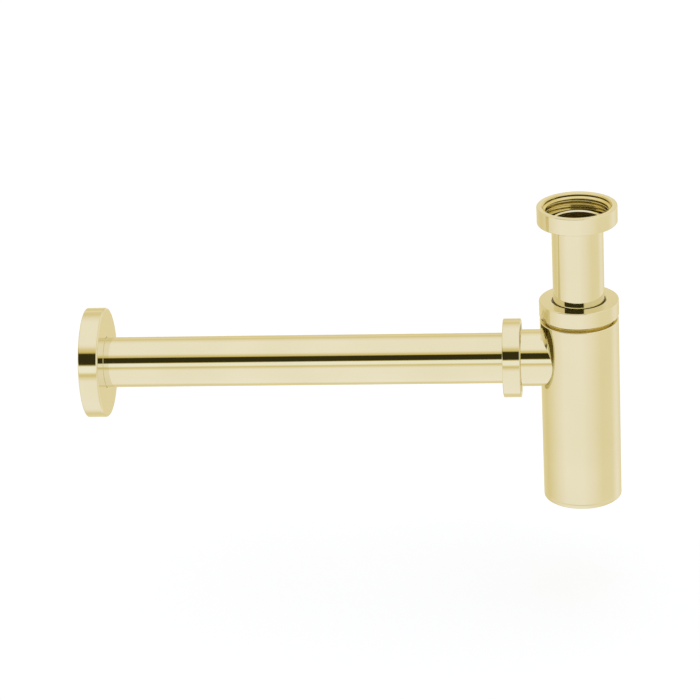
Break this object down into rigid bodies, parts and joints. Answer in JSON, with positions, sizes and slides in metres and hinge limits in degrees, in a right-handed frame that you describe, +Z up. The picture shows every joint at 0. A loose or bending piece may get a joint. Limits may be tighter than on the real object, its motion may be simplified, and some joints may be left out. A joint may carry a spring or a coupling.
{
  "type": "bottle trap",
  "caption": "Polished gold-coloured bottle trap for a wash basin: threaded union nut, telescopic inlet, cylindrical bottle with screw base, straight outlet tube and wall flange.",
  "frame": {"origin": "on the inlet axis where the basin nut's thread begins, 0.8 mm below its rim", "axes": "+Z up along the inlet, -X along the outlet tube to the wall, +Y away from the picture's viewer"},
  "size_m": [0.3389, 0.07, 0.1966],
  "materials": {
    "polished_gold_brass": "polished, gold coloured",
    "black_rubber": "matt",
    "white_plastic": "natural"
  },
  "bodies": {
    "bottle": {"bottle_body": "polished_gold_brass", "inlet_seal": "black_rubber", "outlet_seal": "black_rubber"},
    "inlet": {"inlet_tube": "polished_gold_brass"},
    "union_nut": {"basin_nut": "polished_gold_brass"},
    "cap_ring": {"inlet_slip_ring": "white_plastic"},
    "cap": {"cap_nut": "polished_gold_brass"},
    "outlet_ring": {"outlet_slip_ring": "white_plastic"},
    "outlet_union": {"outlet_nut": "polished_gold_brass"},
    "outlet": {"outlet_tube": "polished_gold_brass"},
    "flange": {"wall_flange": "polished_gold_brass", "flange_grip": "black_rubber"},
    "base_ring": {"base_seal": "black_rubber"},
    "base": {"base_plug": "polished_gold_brass"}
  },
  "joints": [
    {"name": "inlet_slide", "type": "slide", "parent": "bottle", "child": "inlet", "axis": [0, 0, 1], "range_m": [-0.009, 0.03]},
    {"name": "basin_nut_spin", "type": "hinge", "parent": "inlet", "child": "union_nut", "pos_m": [0, 0, 0], "axis": [0, 0, 1], "continuous": true},
    {"name": "cap_lift", "type": "slide", "parent": "bottle", "child": "cap_ring", "axis": [0, 0, 1], "range_m": [0, 0.0045]},
    {"name": "cap_turn", "type": "hinge", "parent": "cap_ring", "child": "cap", "pos_m": [0, 0, -0.066], "axis": [0, 0, 1], "range_deg": [0, 1080]},
    {"name": "outlet_ring_slide", "type": "slide", "parent": "bottle", "child": "outlet_ring", "axis": [-1, 0, 0], "range_m": [0, 0.0045]},
    {"name": "outlet_nut_turn", "type": "hinge", "parent": "outlet_ring", "child": "outlet_union", "pos_m": [-0.045, 0, -0.1012], "axis": [-1, 0, 0], "range_deg": [0, 1080]},
    {"name": "outlet_slide", "type": "slide", "parent": "bottle", "child": "outlet", "axis": [-1, 0, 0], "range_m": [-0.003, 0.008]},
    {"name": "flange_slide", "type": "slide", "parent": "outlet", "child": "flange", "axis": [1, 0, 0], "range_m": [0, 0.24]},
    {"name": "base_ring_drop", "type": "slide", "parent": "bottle", "child": "base_ring", "axis": [0, 0, -1], "range_m": [0, 0.006]},
    {"name": "base_turn", "type": "hinge", "parent": "base_ring", "child": "base", "pos_m": [0, 0, -0.19], "axis": [0, 0, -1], "range_deg": [0, 1440]}
  ],
  "couplings": [
    {"joint": "cap_lift", "follows": "cap_turn", "m_per_rad": 0.00023873},
    {"joint": "outlet_ring_slide", "follows": "outlet_nut_turn", "m_per_rad": 0.00023873},
    {"joint": "base_ring_drop", "follows": "base_turn", "m_per_rad": 0.00023873}
  ]
}
